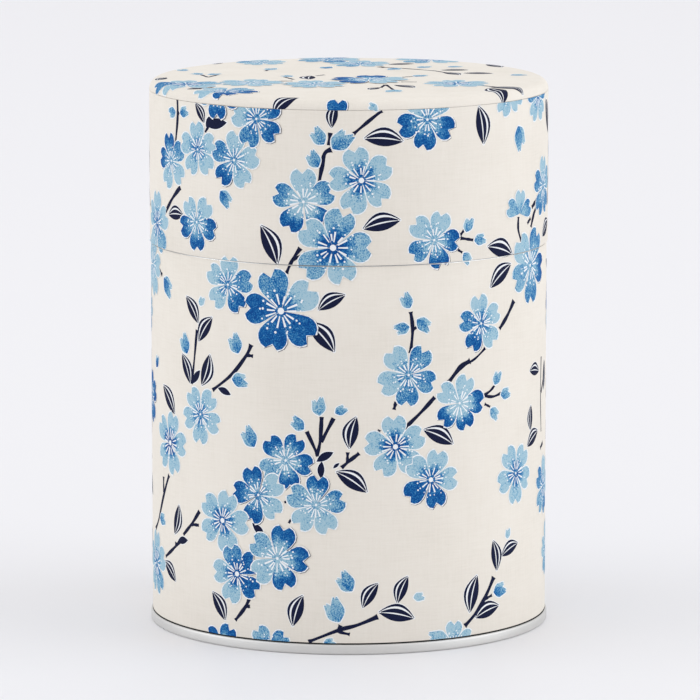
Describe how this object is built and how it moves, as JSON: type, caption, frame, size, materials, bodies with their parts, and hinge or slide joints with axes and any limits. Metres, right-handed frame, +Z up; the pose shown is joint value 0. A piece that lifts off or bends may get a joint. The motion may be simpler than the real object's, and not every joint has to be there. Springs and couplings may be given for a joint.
{
  "type": "storage tin",
  "caption": "Round tinplate caddy covered in patterned paper, with a slip-over outer lid and a drop-in inner lid with a knob.",
  "frame": {"origin": "centre of the base, in the plane that the rim stands on", "axes": "+Z up along the tin's axis, front towards -Y, lapped seams at the back towards +Y"},
  "size_m": [0.0784, 0.0786, 0.1074],
  "materials": {
    "tinplate": "bright rolled tinplate with fine rolling lines",
    "base_tinplate": "bright pressed tinplate",
    "printed_paper": "matte fibrous cream paper printed with a blue blossom pattern",
    "knob_plastic": "white moulded plastic, semi-gloss",
    "rivet_metal": "plain drawn metal"
  },
  "bodies": {
    "root": {"body_shell": "tinplate", "bottom_end": "base_tinplate", "neck_sleeve": "tinplate", "body_wrap": "printed_paper"},
    "inner_lid": {"inner_lid_pan": "tinplate", "inner_lid_knob": "knob_plastic", "knob_rivet": "rivet_metal", "rivet_washer": "rivet_metal"},
    "outer_lid": {"lid_wall": "tinplate", "lid_top_plate": "tinplate", "lid_side_wrap": "printed_paper", "lid_top_paper": "printed_paper"}
  },
  "joints": [
    {"name": "inner_lid_lift", "type": "slide", "parent": "root", "child": "inner_lid", "axis": [0, 0, 1], "range_m": [0, 0.04]},
    {"name": "outer_lid_lift", "type": "slide", "parent": "inner_lid", "child": "outer_lid", "axis": [0, 0, 1], "range_m": [0, 0.06]}
  ]
}
